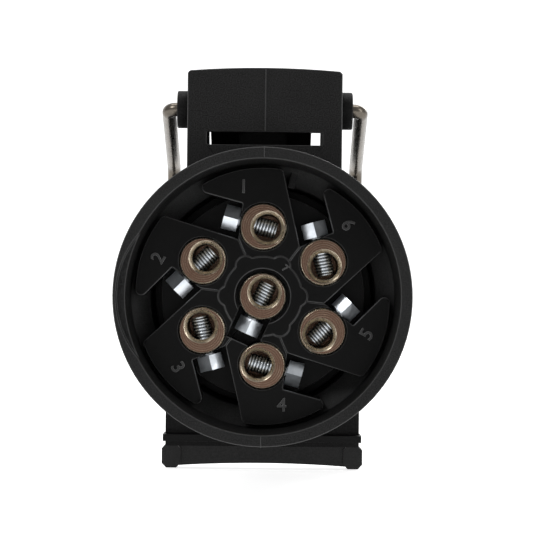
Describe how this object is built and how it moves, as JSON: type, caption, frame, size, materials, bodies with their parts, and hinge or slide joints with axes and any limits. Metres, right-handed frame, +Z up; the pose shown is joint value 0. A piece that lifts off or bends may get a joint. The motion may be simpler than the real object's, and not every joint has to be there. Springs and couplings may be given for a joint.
{
  "type": "trailer wiring connector",
  "caption": "Round multi-pole trailer wiring socket with a sprung hinged lid, screw-clamp contacts and a swinging wire bail.",
  "frame": {"origin": "centre of the rear rim of the housing, on the connector's axis", "axes": "+Y from the wiring side to the plug side along the connector's axis, +Z up to the lid's hinge, +X right seen from the wiring side"},
  "size_m": [0.0484, 0.0596, 0.0684],
  "materials": {
    "housing_plastic": "fine-textured black moulded nylon",
    "insert_plastic": "satin black moulded nylon",
    "seal_rubber": "soft black rubber",
    "contact_metal": "nickel-plated turned brass",
    "screw_zinc": "bright zinc plate",
    "spring_steel": "drawn spring steel",
    "bail_wire": "nickel-plated steel wire"
  },
  "bodies": {
    "shell": {"housing": "housing_plastic", "contact_insert": "insert_plastic", "insert_nose": "insert_plastic", "insert_seal": "seal_rubber", "terminal_1": "contact_metal", "terminal_2": "contact_metal", "terminal_3": "contact_metal", "terminal_4": "contact_metal", "terminal_5": "contact_metal", "terminal_6": "contact_metal", "terminal_7": "contact_metal", "terminal_screw_1": "screw_zinc", "terminal_screw_2": "screw_zinc", "terminal_screw_3": "screw_zinc", "terminal_screw_4": "screw_zinc", "terminal_screw_5": "screw_zinc", "terminal_screw_6": "screw_zinc", "terminal_screw_7": "screw_zinc", "contact_rings": "spring_steel"},
    "lid": {"lid": "housing_plastic", "lid_gasket": "seal_rubber", "hinge_pin": "spring_steel", "hinge_cap_left": "housing_plastic", "hinge_cap_right": "housing_plastic", "lid_spring": "spring_steel"},
    "bail": {"bail_leg_left": "bail_wire", "bail_leg_right": "bail_wire", "bail_grip": "housing_plastic"}
  },
  "joints": [
    {"name": "lid_hinge", "type": "hinge", "parent": "shell", "child": "lid", "pos_m": [0, 0.0285, 0.0307], "axis": [1, 0, 0], "range_deg": [0, 100], "stiffness_Nm_per_rad": 0.03, "springref_deg": -45.84, "deforming": ["lid_spring"]},
    {"name": "bail_hinge", "type": "hinge", "parent": "lid", "child": "bail", "pos_m": [0, 0.0285, 0.0307], "axis": [1, 0, 0], "range_deg": [0, 75]}
  ]
}
